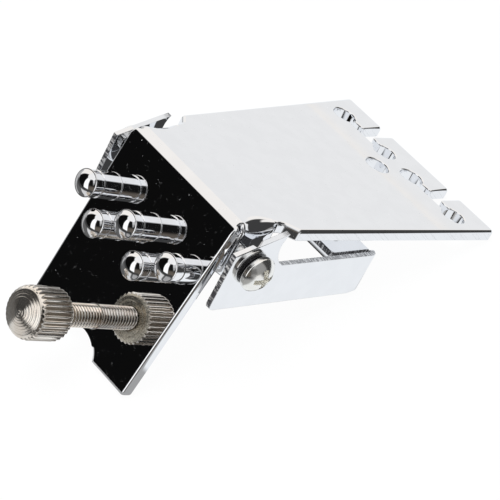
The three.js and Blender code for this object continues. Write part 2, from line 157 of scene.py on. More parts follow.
def rim(thickness, upper, lower):
    """Steps (inset, height, tilt) across the rim, from the lower face to the upper one."""
    steps = []
    for k in range(RIM_STEPS + 1):
        tilt = QUARTER_TURN * (k / RIM_STEPS - 1)
        height = -thickness / 2 + lower * (1 + math.sin(tilt))
        steps.append((lower * (1 - math.cos(tilt)), height, tilt))
    for k in range(RIM_STEPS + 1):
        tilt = QUARTER_TURN * k / RIM_STEPS
        height = thickness / 2 - upper * (1 - math.sin(tilt))
        steps.append((upper * (1 - math.cos(tilt)), height, tilt))
    return steps


print("a rim has", len(rim(2.0, 0.6, 0.2)), "steps")


# %% Build a flat blank
def fill(bm, rings, upward):
    """One face of the sheet: the outline's ring with the holes' rings left open."""
    edges = []
    for ring in rings:
        edges += [bm.edges.get((ring[i - 1], ring[i])) for i in range(len(ring))]
    for face in bmesh.ops.triangle_fill(bm, edges=edges, use_beauty=True)["geom"]:
        if isinstance(face, bmesh.types.BMFace):
            face.normal_update()
            if (face.normal.z > 0) != upward:
                face.normal_flip()


def flat_blank(loops, thickness, upper, lower):
    """A sheet of closed loops; upper(x, y) is the upper rim's rounding."""
    bm = bmesh.new()
    bm.verts.layers.float_vector.new("own_mm")
    out = bm.verts.layers.float_vector.new("out")
    bottoms, tops = [], []
    for loop in loops:
        rims = [rim(thickness, upper(x, y), lower) for x, y, _, _ in loop]
        rings = []
        for level in range(len(rims[0])):
            ring = []
            for (x, y, out_x, out_y), steps in zip(loop, rims):
                inset, height, tilt = steps[level]
                vert = bm.verts.new((x - out_x * inset, y - out_y * inset, height))
                vert[out] = (out_x * math.cos(tilt), out_y * math.cos(tilt), math.sin(tilt))
                ring.append(vert)
            rings.append(ring)
        for low, high in zip(rings, rings[1:]):
            for i in range(len(low)):
                bm.faces.new((low[i - 1], low[i], high[i], high[i - 1]))
        bottoms.append(rings[0])
        tops.append(rings[-1])
    fill(bm, bottoms, False)
    fill(bm, tops, True)
    return bm


# %% Turn a mesh into an object
def into_scene(name, data):
    """A new object of the scene."""
    made = bpy.data.objects.new(name, data)
    bpy.context.scene.collection.objects.link(made)
    return made


def mesh_of(bm, name):
    """The bmesh as a mesh."""
    mesh = bpy.data.meshes.new(name)
    bm.to_mesh(mesh)
    bm.free()
    return mesh


def finished(bm, name, normals=None):
    """The bmesh as an object, smooth, with exact normals where they are known."""
    for face in bm.faces:
        face.smooth = True
    mesh = mesh_of(bm, name)
    if normals:
        mesh.normals_split_custom_set_from_vertices(normals)
    print(name, len(mesh.polygons), "faces")
    return into_scene(name, mesh)


# %% Fold a blank
CUT_SLACK = 1e-5
SMALL = 1e-4


def bent_direction(fold, u, v, w, flat):
    """Where a direction that leads out of the flat blank points once it is folded."""
    along_u = (fold(u + SMALL, v, w) - fold(u - SMALL, v, w)) / (2 * SMALL)
    along_v = (fold(u, v + SMALL, w) - fold(u, v - SMALL, w)) / (2 * SMALL)
    along_w = (fold(u, v, w + SMALL) - fold(u, v, w - SMALL)) / (2 * SMALL)
    return (
        along_v.cross(along_w) * flat.x
        + along_w.cross(along_u) * flat.y
        + along_u.cross(along_v) * flat.z
    )


def folded_sheet(name, bm, cuts, fold, axes):
    """A flat blank, cut into strips and then bent by fold(u, v, w)."""
    for spot, across in cuts:
        parts = bm.verts[:] + bm.edges[:] + bm.faces[:]
        bmesh.ops.bisect_plane(bm, geom=parts, dist=CUT_SLACK, plane_co=spot, plane_no=across)
    own = bm.verts.layers.float_vector["own_mm"]
    out = bm.verts.layers.float_vector["out"]
    turn = axes.to_3x3().normalized()
    normals = []
    for vert in bm.verts:
        u, v, w = vert.co
        bent = bent_direction(fold, u, v, w, Vector(vert[out]))
        vert[own] = (u, v, w)
        vert.co = axes @ fold(u, v, w)
        normals.append((turn @ bent).normalized())
    return finished(bm, name, normals)


# %% [markdown]
# ## The plate
# One blank carries the slotted top, the rear wing and the two ears. Its middle layer keeps
# its length in a bend, so a place on the wing is found on the blank by the length of the arc.
# Working from the blank, as the press does, keeps every hole round until the metal bends.

# %% Sizes of the plate
SHEET = 2.0
PLATE_LENGTH, FRONT_HALF = 61.0, 20.0
SHOULDER, NECK = (13.0, 15.8), (11.0, 13.5)
BEND_OUTER, BEND_HALF = 2.6, 13.7
REAR_HEIGHT, REAR_END_HALF = 34.8, 13.2
NOTCH_RADIUS, NOTCH_DROP = 4.8, 36.6
THREAD_DROP, THREAD_HOLE = 28.9, 2.1

bend_middle = BEND_OUTER - SHEET / 2
bend_start = BEND_OUTER * math.tan(BEND_TURN / 2)
bend_end = bend_start - bend_middle * BEND_TURN


def on_wing(drop):
    """The blank's u for a place at a distance down the wing from the sharp corner."""
    return bend_end + bend_start - drop


print("the flat blank is", round(PLATE_LENGTH - on_wing(REAR_HEIGHT), 1), "mm long")

# %% The string slots
EYE_RADIUS, EYE_YS, SLOT_X, SLOT_HALF = 2.2, (3.7, 14.85), 54.4, 0.9
ENTRY_HALF, ENTRY_CORNER = 1.3, 0.7
CENTRE_HOLE_X = 48.6
CUSP = 9.5  # degrees of an eye's rim that are cut off straight where the slot meets it


def slot_path(low, high):
    """A string slot's edge: in from the front, round both eyes and out again."""
    junction = math.degrees(math.asin(SLOT_HALF / EYE_RADIUS))
    entry, front = (low + high) / 2, SLOT_X + SLOT_HALF
    path = [(x, entry - ENTRY_HALF, ENTRY_CORNER) for x in (PLATE_LENGTH, front)]
    for centre, first in ((low, 90 - junction), (high, -90 - junction)):
        last = first - 360 + 2 * junction
        path.append(on_circle(SLOT_X, centre, EYE_RADIUS, first))
        path += arc(SLOT_X, centre, EYE_RADIUS, first - CUSP, last + CUSP)
        path.append(on_circle(SLOT_X, centre, EYE_RADIUS, last))
    return path + [(x, entry + ENTRY_HALF, ENTRY_CORNER) for x in (front, PLATE_LENGTH)]


inner, outer = EYE_YS
slots = slot_path(-outer, -inner) + slot_path(inner, outer)
print("the two slots have", len(slots), "corners")

# %% The ears and the rest of the outline
EAR_REAR, EAR_FRONT, EAR_LOBE, EAR_OUTER_Y = 1.9, 9.3, 4.3, 13.9
LOBE_START, LOBE_END = -3, 171
EAR_SPARE = 0.5  # the fold takes this much less of the blank than a sharp corner would
EAR_HOLE = 1.6
RELIEF_WIDTH, RELIEF_DEPTH = 0.4, 0.75  # the cut that frees the ear from the bend

ear_centre = EAR_OUTER_Y - EAR_SPARE + PIVOT_DROP
left_side = [
    (PLATE_LENGTH, FRONT_HALF, 0.75),
    (*SHOULDER, 0.9),
    (*NECK, 1.5),
    (EAR_FRONT, NECK[1], 0.3),
    *arc(PIVOT_X, ear_centre, EAR_LOBE, LOBE_START, LOBE_END, steps=24),
    (EAR_REAR, BEND_HALF - RELIEF_DEPTH, 0.1),
    (EAR_REAR - RELIEF_WIDTH, BEND_HALF - RELIEF_DEPTH, 0.1),
    (EAR_REAR - RELIEF_WIDTH, BEND_HALF, 0.65),
    (on_wing(REAR_HEIGHT), REAR_END_HALF, 0.75),
]
right_side = [(x, -y, radius) for x, y, radius in reversed(left_side)]
notch_angle = math.degrees(math.acos((NOTCH_DROP - REAR_HEIGHT) / NOTCH_RADIUS))
notch = arc(on_wing(NOTCH_DROP), 0, NOTCH_RADIUS, notch_angle, -notch_angle, steps=36)
plate_loops = [
    trace(slots + left_side + notch + right_side),
    hole(CENTRE_HOLE_X, 0, EYE_RADIUS),
    hole(on_wing(THREAD_DROP), 0, THREAD_HOLE),
    hole(PIVOT_X, ear_centre, EAR_HOLE),
    hole(PIVOT_X, -ear_centre, EAR_HOLE),
]
print("the plate's outline has", len(plate_loops[0]), "points")

# %% [markdown]
# ## Folding the plate
# The main bend is a plain arc. The ears are harder: the press swells their folds in the
# middle and leaves them tight at the ends, and beside them the metal has to flow back into
# the flat top and the bend. A lattice could push the mesh about, but a formula for the ear's
# section keeps the sheet's thickness true, and gives the normals as well.

# %% Bend the top into the wing
def clamped(value):
    return min(1, max(0, value))


def smooth_step(value):
    value = clamped(value)
    return value * value * (3 - 2 * value)


def along_plate(u, w):
    """The side view: x and z of the top, the bend or the wing."""
    if u >= bend_start:
        return u, w - SHEET / 2
    turned = min(BEND_TURN, (bend_start - u) / bend_middle)
    beyond = max(0, bend_end - u)
    radius = bend_middle + w
    x = bend_start - radius * math.sin(turned) - beyond * math.cos(turned)
    z = -BEND_OUTER + radius * math.cos(turned) - beyond * math.sin(turned)
    return x, z


print("the wing ends at", [round(share, 2) for share in along_plate(on_wing(REAR_HEIGHT), 0)])

# %% Bend the ears down
EAR_TIGHT, EAR_SWELL = 1.35, 1.35  # the fold's outer radius at its ends, and what it gains
SWELL_POWER = 0.8
LEAST_INNER = 0.25
SKEW_REACH = 3  # how far in from the fold the section starts to lean


def ear_section(u, across, w):
    """How far out and how high a point of the ear's blank lies once the ear is bent."""
    share = clamped((u - EAR_REAR) / (EAR_FRONT - EAR_REAR))
    swell = max(0.0, math.sin(math.pi * share)) ** SWELL_POWER
    outer = EAR_TIGHT + EAR_SWELL * swell
    inner = max(LEAST_INNER, outer - SHEET)
    root = EAR_OUTER_Y - outer
    turned = QUARTER_TURN * clamped((across - root) / (2 * outer - EAR_SPARE))
    beyond = max(0, across - root - 2 * outer + EAR_SPARE)
    skew = (SHEET + inner - outer) * clamped((across - root + SKEW_REACH) / SKEW_REACH)
    flat_part = min(across, root)
    outside = Vector((flat_part + outer * math.sin(turned), -outer * (1 - math.cos(turned))))
    inside = Vector((
        flat_part - skew + inner * math.sin(turned),
        -SHEET - inner * (1 - math.cos(turned)),
    ))
    place = inside.lerp(outside, 0.5 + w / SHEET)
    return place.x, place.y - beyond, w * math.cos(turned)


print("mid-ear, the fold reaches", round(ear_section(PIVOT_X, ear_centre, SHEET / 2)[0], 2), "mm")

# %% Join the ears to the top and the bend
EAR_INSIDE = EAR_OUTER_Y - EAR_TIGHT - EAR_SWELL - SKEW_REACH
FRONT_FADE, REAR_FADE = 0.8, 0.9
FREE_START, FREE_FADE = 0.35, 0.2  # from here outwards the metal belongs to the ear alone


def fold_plate(u, v, w):
    """A place on the flat blank, moved to where the press puts it."""
    across = abs(v)
    x, z = along_plate(u, w)
    flat = Vector((x, v, z))
    if across < EAR_INSIDE or u > EAR_FRONT + 1:
        return flat
    y, height, level = ear_section(u, across, w)
    x, z = along_plate(u, level)
    bent = Vector((x, math.copysign(y, v), z + height - level + SHEET / 2))
    free = smooth_step((across - EAR_OUTER_Y + FREE_START) / FREE_FADE)
    ahead = smooth_step((u - EAR_FRONT) / FRONT_FADE)
    astern = 1 - smooth_step((u - EAR_REAR + REAR_FADE) / REAR_FADE)
    return bent.lerp(flat, max(ahead, astern) * (1 - free))


# %% Make the plate
POLISHED_RIM, PUNCHED_RIM, CRISP_RIM, BURR_RIM = 0.6, 0.28, 0.12, 0.2
WING_ROWS, CRISP_REACH = -10, 3  # the thread's hole and the notch lie behind this u
SLOT_ROWS, SLOT_REACH, RIM_FADE = 46, 17.6, 4
FOLD_FROM, FOLD_STRIP = 10.8, 0.22


def plate_rounding(x, y):
    """The outer edge is polished round; the punched slots and holes are crisper."""
    if x < WING_ROWS and abs(y) < CRISP_REACH:
        return CRISP_RIM
    if abs(y) < SLOT_REACH and x > SLOT_ROWS:
        to_front = smooth_step((x - SLOT_X - EYE_RADIUS) / RIM_FADE)
        return PUNCHED_RIM + (POLISHED_RIM - PUNCHED_RIM) * to_front
    return POLISHED_RIM


def strips(start, end, count):
    """Places that cut a length into equal strips."""
    return [start + (end - start) * k / count for k in range(count + 1)]


plate_rows = strips(bend_end, bend_start, 20) + strips(EAR_REAR, EAR_FRONT, 16)
plate_rows += [EAR_FRONT + 0.2 * k for k in range(1, 6)]
plate_cuts = [((u, 0, 0), (1, 0, 0)) for u in plate_rows]
for k in range(26):
    plate_cuts += [((0, side * (FOLD_FROM + FOLD_STRIP * k), 0), (0, 1, 0)) for side in (1, -1)]
plate_blank = flat_blank(plate_loops, SHEET, plate_rounding, BURR_RIM)
plate = folded_sheet("bent_plate", plate_blank, plate_cuts, fold_plate, plate_axes)

# %% [markdown]
# ## The bracket
# The bracket hooks the tailpiece to the rim. Its blank is a cross: the front wall in the
# middle, a cheek on either side and the flange on top. The slits beside the flange let it
# fold on its own. It is the same work as the plate, with thinner metal and plain folds.

# %% Sizes of the bracket
BRACKET_SHEET, BRACKET_HALF, FOLD_OUTER = 1.0, 16.4, 1.5
CHEEK_REAR, CHEEK_FRONT, CHEEK_BOTTOM = 5.85, 31.2, 7.75
CHEEK_REAR_TOP, ARM_TOP = 3.05, 0.35
HOOP_RADIUS, HOOP_X, HOOP_Z = 4.4, 8.3, 4.4
HOOP_TIP = 149  # degrees round the hoop's seat at which the cheek's tip lies
FLANGE_HALF, FLANGE_REACH = 14.7, 10.6
BOLT_HOLE, SIDE_HOLE, PIVOT_HOLE = (5.5, 0.0, 3.5), (6.7, 10.4, 1.5), 1.83
BRACKET_REST = math.radians(-0.5)

bracket_axes = pivot_axes @ Matrix.Rotation(BRACKET_REST, 4, "Y")
fold_middle = FOLD_OUTER - BRACKET_SHEET / 2
fold_arc = fold_middle * QUARTER_TURN
wall_half = BRACKET_HALF - FOLD_OUTER
wall_top = ARM_TOP - FOLD_OUTER
fold_x = CHEEK_FRONT - FOLD_OUTER


def on_cheek(x):
    """The blank's u for a place on the left cheek at a distance ahead of the pivot."""
    return wall_half + fold_arc + fold_x - x


def on_flange(inset):
    """The blank's v for a place on the flange at a distance behind its front."""
    return wall_top + fold_arc + inset - FOLD_OUTER


print("the flat bracket is", round(2 * on_cheek(-CHEEK_REAR), 1), "mm across")

# %% The blank of the bracket
STEP_START, STEP_END, STEP_RISE = 15.2, 18.0, 0.65  # the wall ends above the cheeks' edge
SMALL_HOLE = 32  # steps round a small hole
slit_side, slit_foot = wall_half + 0.05, wall_top + 0.3

cheek = [
    (STEP_START, STEP_RISE - CHEEK_BOTTOM, 1.2),
    (STEP_END, -CHEEK_BOTTOM, 1.6),
    (on_cheek(-CHEEK_REAR), -CHEEK_BOTTOM, 1.1),
    (on_cheek(-CHEEK_REAR), CHEEK_REAR_TOP, 0.3),
]
seat_end = 180 - math.degrees(math.asin((ARM_TOP - HOOP_Z) / HOOP_RADIUS))
seat = [
    (on_cheek(x), z, radius)
    for x, z, radius in arc(HOOP_X, HOOP_Z, HOOP_RADIUS, HOOP_TIP, seat_end, steps=24)
]
front = [
    (slit_side, ARM_TOP, 0.2),
    (slit_side, slit_foot, 0.08),
    (FLANGE_HALF, slit_foot, 0.08),
    (FLANGE_HALF, on_flange(FLANGE_REACH), 0.8),
]
half_bracket = cheek + seat + front
other_half = [(-u, v, radius) for u, v, radius in reversed(half_bracket)]
bracket_loops = [
    trace(half_bracket + other_half),
    hole(BOLT_HOLE[1], on_flange(BOLT_HOLE[0]), BOLT_HOLE[2]),
]
for side in (1, -1):
    aside, behind_front = side * SIDE_HOLE[1], on_flange(SIDE_HOLE[0])
    bracket_loops.append(hole(aside, behind_front, SIDE_HOLE[2], SMALL_HOLE))
    bracket_loops.append(hole(side * on_cheek(0), 0, PIVOT_HOLE, SMALL_HOLE))
print("the bracket's outline has", len(bracket_loops[0]), "points")

# %% Fold the bracket
UPPER_RIM, LOWER_RIM = 0.18, 0.08


def round_fold(distance, w):
    """How far forward and how far along the fold a point lies, past the flat wall."""
    turned = min(QUARTER_TURN, max(0, distance) / fold_middle)
    beyond = max(0, distance - fold_arc)
    forward = fold_x + (fold_middle + w) * math.cos(turned) - beyond
    return forward, (fold_middle + w) * math.sin(turned)


def fold_bracket(u, v, w):
    """A place on the flat blank, moved to a cheek, the wall or the flange."""
    if abs(u) > wall_half:
        x, reach = round_fold(abs(u) - wall_half, w)
        return Vector((x, math.copysign(1, u) * (wall_half + reach), v))
    x, reach = round_fold(v - wall_top, w)
    return Vector((x, u, min(v, wall_top) + reach))


bracket_cuts = []
for place in strips(0, fold_arc, 10):
    bracket_cuts.append(((0, wall_top + place, 0), (0, 1, 0)))
    bracket_cuts += [((side * (wall_half + place), 0, 0), (1, 0, 0)) for side in (1, -1)]
bracket_blank = flat_blank(bracket_loops, BRACKET_SHEET, lambda x, y: UPPER_RIM, LOWER_RIM)
bracket = folded_sheet("folded_bracket", bracket_blank, bracket_cuts, fold_bracket, bracket_axes)

# %% [markdown]
# ## Turned pieces
# Posts, washers and screw heads come off a lathe, and so they do here: a traced profile is
# swept round its axis, and its outward directions become the normals. A Screw modifier would
# sweep it too, but it would leave the normals to be guessed from the faces.

# %% Sweep a profile
AROUND = 64
ON_AXIS = 1e-6


def turned_piece(name, corners, axes):
    """Corners (radius, height, corner radius), with the metal on the path's left."""
    bm = bmesh.new()
    own = bm.verts.layers.float_vector.new("own_mm")
    turn = axes.to_3x3().normalized()
    normals, rings = [], []
    for radius, height, out_r, out_h in trace(corners, closed=False):
        ring = []
        for k in range(AROUND if radius > ON_AXIS else 1):
            angle = 2 * math.pi * k / AROUND
            cos, sin = math.cos(angle), math.sin(angle)
            vert = bm.verts.new(axes @ Vector((radius * cos, radius * sin, height)))
            vert[own] = (radius * cos, radius * sin, height)
            normals.append((turn @ Vector((out_r * cos, out_r * sin, out_h))).normalized())
            ring.append(vert)
        rings.append(ring)
    for low, high in zip(rings, rings[1:]):
        for k in range(AROUND):
            a, b = low[k % len(low)], low[(k + 1) % AROUND % len(low)]
            c, d = high[(k + 1) % AROUND % len(high)], high[k % len(high)]
            corner = list(dict.fromkeys((a, b, c, d)))
            if len(corner) > 2:
                bm.faces.new(corner)
    return finished(bm, name, normals)


def dome(radius, base, height, steps=14):
    """Plain corners over a dome, from its rim to its top."""
    sphere = (radius * radius + height * height) / (2 * height)
    reach = math.asin(radius / sphere)
    angles = [reach * (1 - k / steps) for k in range(1, steps + 1)]
    return [(sphere * math.sin(a), base + height - sphere * (1 - math.cos(a)), 0) for a in angles]


# %% [markdown]
# ## String posts
# Five posts stand on the wing in a zigzag, and each holds the loop of one string. On the real
# object a post is turned with a foot, a shallow groove and a domed end, and riveted through
# the wing. One profile serves all five, because they come off one lathe.

# %% String posts
POST_RADIUS, POST_LENGTH, POST_DOME = 2.3, 6.4, 1.05
POST_DROPS, POST_SPACING = (10.6, 14.6), 5.4
RIVET_RADIUS, TENON_RADIUS, FOOT_RADIUS = 1.9, 1.3, 2.34
groove_radius, lip_radius = POST_RADIUS - 0.14, POST_RADIUS + 0.07

rivet = [
    (0, -2.52, 0), (1.2, -2.5, 0.3), (RIVET_RADIUS, -2.25, 0.12), (RIVET_RADIUS, -2.04, 0.03),
    (TENON_RADIUS, -2.04, 0.02), (TENON_RADIUS, 0.03, 0.02),
]
foot = [(FOOT_RADIUS, 0.03, 0.05), (FOOT_RADIUS, 0.14, 0.04), (POST_RADIUS, 0.18, 0.04)]
groove = [
    (POST_RADIUS, 4.14, 0.04), (groove_radius, 4.24, 0.06), (groove_radius, 4.78, 0.05),
    (POST_RADIUS, 4.9, 0.05),
]
lip = [
    (POST_RADIUS, 6.1, 0.04), (lip_radius, 6.16, 0.05), (lip_radius, 6.38, 0.1),
    (POST_RADIUS - 0.1, 6.42, 0.03),
]
end = dome(groove_radius, POST_LENGTH + 0.02, POST_DOME - 0.02)
posts = []
for i in range(5):
    spot = Matrix.Translation((-POST_DROPS[i % 2], (2 - i) * POST_SPACING, 0))
    post = turned_piece(f"turned_post_{i + 1}", rivet + foot + groove + lip + end, wing_axes @ spot)
    posts.append(post)

# %% [markdown]
# ## Pivot screws
# A pan head screw and a thin washer on either side carry the bracket. Under the head, the
# screw's shoulder fills the cheek's hole and its thread holds in the ear. Both are turned
# pieces. The driver's cross isn't round, so it is the one place for a boolean: the cutter is
# two tapered bars, as wide at the top as the real recess.

# %% Profiles of the washer and the screw
WASHER_BORE, WASHER_RADIUS, WASHER_LOW, WASHER_HIGH = 1.85, 2.5, 16.46, 16.85
HEAD_BASE, HEAD_RIM, HEAD_HEIGHT, HEAD_RADIUS = 16.9, 0.9, 2.5, 3.2
SCREW_END, SHOULDER_START = 11.42, 13.95
CORE_RADIUS, SHOULDER_RADIUS = 1.48, 1.75
HEAD_TOP = HEAD_BASE + HEAD_HEIGHT

washer_profile = [
    (WASHER_BORE, WASHER_LOW, 0), (WASHER_RADIUS, WASHER_LOW, 0.08),
    (WASHER_RADIUS, WASHER_HIGH, 0.12), (WASHER_BORE, WASHER_HIGH, 0.05),
    (WASHER_BORE, WASHER_LOW, 0),
]
head_profile = [
    (0, SCREW_END, 0), (CORE_RADIUS, SCREW_END, 0.2), (CORE_RADIUS, SHOULDER_START, 0.02),
    (SHOULDER_RADIUS, SHOULDER_START, 0.05), (SHOULDER_RADIUS, HEAD_BASE, 0.02),
    (HEAD_RADIUS, HEAD_BASE, 0.3), (HEAD_RADIUS, HEAD_BASE + HEAD_RIM, 0.45),
] + dome(HEAD_RADIUS, HEAD_BASE + HEAD_RIM, HEAD_HEIGHT - HEAD_RIM)
print("the head is", round(2 * HEAD_RADIUS, 1), "mm across and", HEAD_HEIGHT, "mm high")

# %% The driver's cross
CROSS_DEPTH, CROSS_REACH, CROSS_HALF = 1.7, 2.3, 0.5
CROSS_TURN = math.radians(13)
CROSS_FLOOR, CROSS_MOUTH, CROSS_ABOVE = 0.45, 1.2, 0.6
BOX_CORNERS = ((-1, -1), (1, -1), (1, 1), (-1, 1))
BOX_FACES = ((3, 2, 1, 0), (4, 5, 6, 7), (0, 1, 5, 4), (1, 2, 6, 5), (2, 3, 7, 6), (3, 0, 4, 7))


def cross_cutter(axes):
    """Two tapered bars across each other."""
    cutter = bmesh.new()
    for quarter in (0, 1):
        spin = axes @ Matrix.Rotation(QUARTER_TURN * quarter + CROSS_TURN, 4, "Z")
        corners = []
        for share, height in (
            (CROSS_FLOOR, HEAD_TOP - CROSS_DEPTH), (CROSS_MOUTH, HEAD_TOP + CROSS_ABOVE),
        ):
            wide = CROSS_HALF * (0.6 + 0.4 * share)
            for along, across in BOX_CORNERS:
                spot = Vector((along * CROSS_REACH * share, across * wide, height))
                corners.append(cutter.verts.new(spin @ spot))
        for face in BOX_FACES:
            cutter.faces.new([corners[k] for k in face])
    return into_scene("cross", mesh_of(cutter, "cross"))


def cross_recess(screw, axes):
    """Cut the cross into the head, and store the millimetres of its new faces."""
    tool = cross_cutter(axes)
    cut = screw.modifiers.new("recess", "BOOLEAN")
    cut.object, cut.operation, cut.solver, cut.use_self = tool, "DIFFERENCE", "EXACT", True
    bpy.context.view_layer.update()
    evaluated = screw.evaluated_get(bpy.context.evaluated_depsgraph_get())
    result = bpy.data.meshes.new_from_object(evaluated)
    screw.modifiers.clear()
    screw.data = result
    own, back = result.attributes["own_mm"], axes.inverted()
    for vert in result.vertices:
        own.data[vert.index].vector = back @ vert.co
    bpy.data.objects.remove(tool)
    print(screw.name, len(result.polygons), "faces with the cross")


# %% Pivot washers and screws
pivot_pieces = {}
for word, side in (("left", 1), ("right", -1)):
    across = pivot_axes @ Matrix.Rotation(-side * QUARTER_TURN, 4, "X")
    washer = turned_piece(f"turned_washer_{word}", washer_profile, across)
    screw = turned_piece(f"pan_head_screw_{word}", head_profile, across)
    cross_recess(screw, across)
    pivot_pieces[word] = (washer, screw)

# %% [markdown]
# ## The thumb screw's thread
# The thumb screw pushes on the instrument and tilts the tailpiece. Its thread is a true helix,
# because the slant of its crests shows. A bump map would leave the outline smooth, so each
# ring of the rod has a radius that changes round the axis instead.

# %% Sweep a surface whose radius changes round the axis
def swept_surface(name, rows, around, axes):
    """Rows that give radius and height for an angle, closed by a point at each end."""
    bm = bmesh.new()
    own = bm.verts.layers.float_vector.new("own_mm")
    rings = []
    for row in rows:
        ring = []
        for k in range(around):
            angle = 2 * math.pi * k / around
            radius, height = row(angle)
            spot = Vector((radius * math.cos(angle), radius * math.sin(angle), height))
            vert = bm.verts.new(axes @ spot)
            vert[own] = spot
            ring.append(vert)
        rings.append(ring)
    for low, high in zip(rings, rings[1:]):
        for k in range(around):
            bm.faces.new((low[k], low[(k + 1) % around], high[(k + 1) % around], high[k]))
    for ring, last in ((rings[0], False), (rings[-1], True)):
        centre = sum((Vector(vert[own]) for vert in ring), Vector()) / around
        tip = bm.verts.new(axes @ centre)
        tip[own] = centre
        for k in range(around):
            pair = (ring[k], ring[(k + 1) % around])
            bm.faces.new((*pair, tip) if last else (pair[1], pair[0], tip))
    return finished(bm, name)


# %% The threaded rod
PITCH, THREAD_RADIUS, THREAD_DEPTH = 0.7, 2.0, 0.4
THREAD_ROOT, THREAD_FLANK = 0.12, 0.68  # widths, as shares of half a pitch
THREAD_LEAD = 1.2  # pitches over which the crest runs out at the tip
THREAD_SAMPLES = 10
TIP_BELOW, ROD_IN_KNOB = 1.0, 0.3
KNOB_BASE, KNOB_LENGTH, KNOB_RADIUS = 9.1, 7.4, 4.4
thread_low, thread_high = -SHEET - TIP_BELOW, KNOB_BASE + ROD_IN_KNOB
screw_axes = wing_axes @ Matrix.Translation((-THREAD_DROP, 0, 0))


def ridge(turns):
    """A wave that is 1 at whole turns and 0 halfway between them."""
    return abs(2 * (turns % 1) - 1)


def thread_row(height):
    """A ring of the thread; its crest runs out at the tip."""
    def row(angle):
        wave = ridge(height / PITCH - angle / (2 * math.pi))
        crest = clamped((wave - THREAD_ROOT) / THREAD_FLANK)
        fade = clamped((height - thread_low) / (THREAD_LEAD * PITCH))
        return THREAD_RADIUS - THREAD_DEPTH * (1 - crest * fade), height
    return row


thread_count = math.ceil((thread_high - thread_low) / PITCH * THREAD_SAMPLES)
thread_rows = [thread_row(height) for height in strips(thread_low, thread_high, thread_count)]
rod = swept_surface("threaded_rod", thread_rows, AROUND, screw_axes)

# %% [markdown]
# ## The knob
# The knob is turned with a crowned face, and then a straight knurl is cut into its side for
# the fingers. Cutting thirty grooves with booleans would be slow and fragile. Here the smaller
# of two radii counts at each place, the turned one or the knurl's, as with a real cutter, so
# the teeth run out in the chamfers.

# %% The knob's profile
knob_top = KNOB_BASE + KNOB_LENGTH
knob_foot = KNOB_BASE + 0.02
knob_rear = [
    (1.95, KNOB_BASE + ROD_IN_KNOB, 0), (2.2, knob_foot, 0.1), (2.9, knob_foot, 0.02),
    (3.0, KNOB_BASE + 0.1, 0.05), (3.1, knob_foot, 0.02), (3.75, knob_foot, 0.15),
]
knob_side = [
    (KNOB_RADIUS, KNOB_BASE + 0.6, 0.12), (KNOB_RADIUS, knob_top - 1.0, 0.5),
    (4.16, knob_top - 0.42, 0.5), (3.66, knob_top - 0.05, 0.35),
]
knob_face = [
    (3.3, knob_top + 0.07, 0.3), (2.3, knob_top + 0.52, 1.6), (1.2, knob_top + 0.88, 1.6),
    (0.5, knob_top + 0.98, 0.3), (0.32, knob_top + 0.98, 0.05), (0.2, knob_top + 1.05, 0.04),
    (0.02, knob_top + 1.06, 0),
]
knob_path = trace(knob_rear + knob_side + knob_face, closed=False)
print("the knob's profile has", len(knob_path), "points")

# %% Knurl the knob
TEETH, TOOTH_DEPTH, TOOTH_SAMPLES = 30, 0.40, 12
TOOTH_ROOT, TOOTH_FLANK = 0.1, 0.75
ROW_STEP, LONGEST_RUN = 0.25, 3


def knurl(angle):
    """The radius that the knurl leaves at an angle."""
    wave = ridge(angle * TEETH / (2 * math.pi))
    return KNOB_RADIUS - TOOTH_DEPTH * (1 - smooth_step((wave - TOOTH_ROOT) / TOOTH_FLANK))


def knob_row(radius, height):
    return lambda angle: (min(radius, knurl(angle)), height)


knob_rows = []
for (r0, h0, _, _), (r1, h1, _, _) in zip(knob_path, knob_path[1:]):
    steps = max(1, math.ceil(math.hypot(r1 - r0, h1 - h0) / ROW_STEP))
    if abs(h1 - h0) >= LONGEST_RUN:
        steps = 1
    for k in range(steps):
        knob_rows.append(knob_row(r0 + (r1 - r0) * k / steps, h0 + (h1 - h0) * k / steps))
knob_rows.append(knob_row(*knob_path[-1][:2]))
knob = swept_surface("knurled_knob", knob_rows, TEETH * TOOTH_SAMPLES, screw_axes)

# %% [markdown]
# ## Riding on the bodies
# Each piece stands for one node of the frame and moves with that node's body, so the hinge
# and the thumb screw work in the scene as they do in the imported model.

# %% Seat the pieces on their bodies
def seat_piece(piece, body, node):
    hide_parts(node)
    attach(piece, body)
    print(piece.name, "rides on", body)


seat_piece(plate, "plate", "tailpiece_plate")
seat_piece(bracket, "bracket", "mounting_bracket")
for i, post in enumerate(posts):
    seat_piece(post, "plate", f"string_post_{i + 1}")
for word, (washer, screw) in pivot_pieces.items():
    seat_piece(washer, "plate", f"pivot_washer_{word}")
    seat_piece(screw, "plate", f"pivot_screw_{word}")
seat_piece(rod, "screw_rod", "thumb_screw_rod")
seat_piece(knob, "screw_knob", "thumb_screw_knob")

# %% [markdown]
# ## Shader maths
# A material is a graph of nodes, and wiring it by hand takes a line for each link. Here a wire
# wraps a node's socket and knows the operators, so that a mask reads like a formula.

# %% Wires
class Wire:
    """A node's output socket."""

    def __init__(self, tree, socket):
        self.tree, self.socket = tree, socket

    def maths(self, operation, *others):
        return self.tree.node("ShaderNodeMath", {"operation": operation}, (self, *others))

    def __add__(self, other):
        return self.maths("ADD", other)

    def __sub__(self, other):
        return self.maths("SUBTRACT", other)

    def __rsub__(self, other):
        return self.tree.node("ShaderNodeMath", {"operation": "SUBTRACT"}, (other, self))

    def __mul__(self, other):
        return self.maths("MULTIPLY", other)

    __radd__, __rmul__ = __add__, __mul__

    def __abs__(self):
        return self.maths("ABSOLUTE")

    def step(self, low, high):
        """0 below low, 1 above high, smooth between them."""
        settings = {"interpolation_type": "SMOOTHSTEP"}
        return self.tree.node("ShaderNodeMapRange", settings, (self, low, high, 0.0, 1.0))


